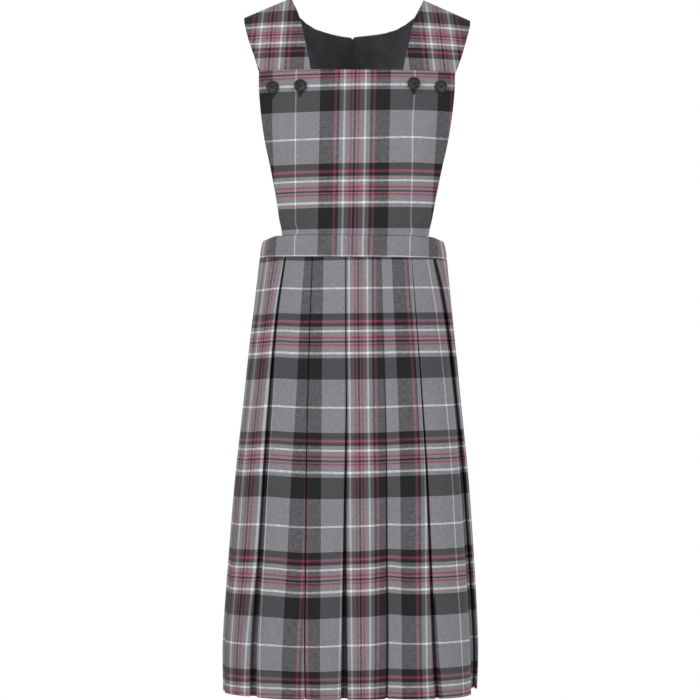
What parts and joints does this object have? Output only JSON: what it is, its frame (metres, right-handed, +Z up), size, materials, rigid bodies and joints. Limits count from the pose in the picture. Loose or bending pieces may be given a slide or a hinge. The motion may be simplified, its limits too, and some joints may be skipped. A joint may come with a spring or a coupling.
{
  "type": "pinafore dress",
  "caption": "Hollow worn form of a sleeveless checked pinafore dress with a buttoned bib, lined back with wide straps, waistband and box-pleated skirt.",
  "frame": {"origin": "midway between the two shoulder straps, at the height where they rest on the shoulders", "axes": "+Z up, the front of the dress faces -Y, +X towards the wearer's left"},
  "size_m": [0.3036, 0.231, 0.8227],
  "materials": {
    "check_cloth": "matt woven check of greys, black, white and red, in a plain suiting weight",
    "lining_cloth": "dark charcoal woven lining with a slight sheen",
    "button": "dark brown-black moulded resin, semi-gloss"
  },
  "bodies": {
    "root": {"bib": "check_cloth", "back_left": "check_cloth", "back_right": "check_cloth", "lining_left": "lining_cloth", "lining_right": "lining_cloth", "waistband_front": "check_cloth", "waistband_back": "check_cloth", "skirt_front": "check_cloth", "skirt_back": "check_cloth", "button_left_outer": "button", "button_left_inner": "button", "button_right_inner": "button", "button_right_outer": "button"}
  },
  "joints": []
}
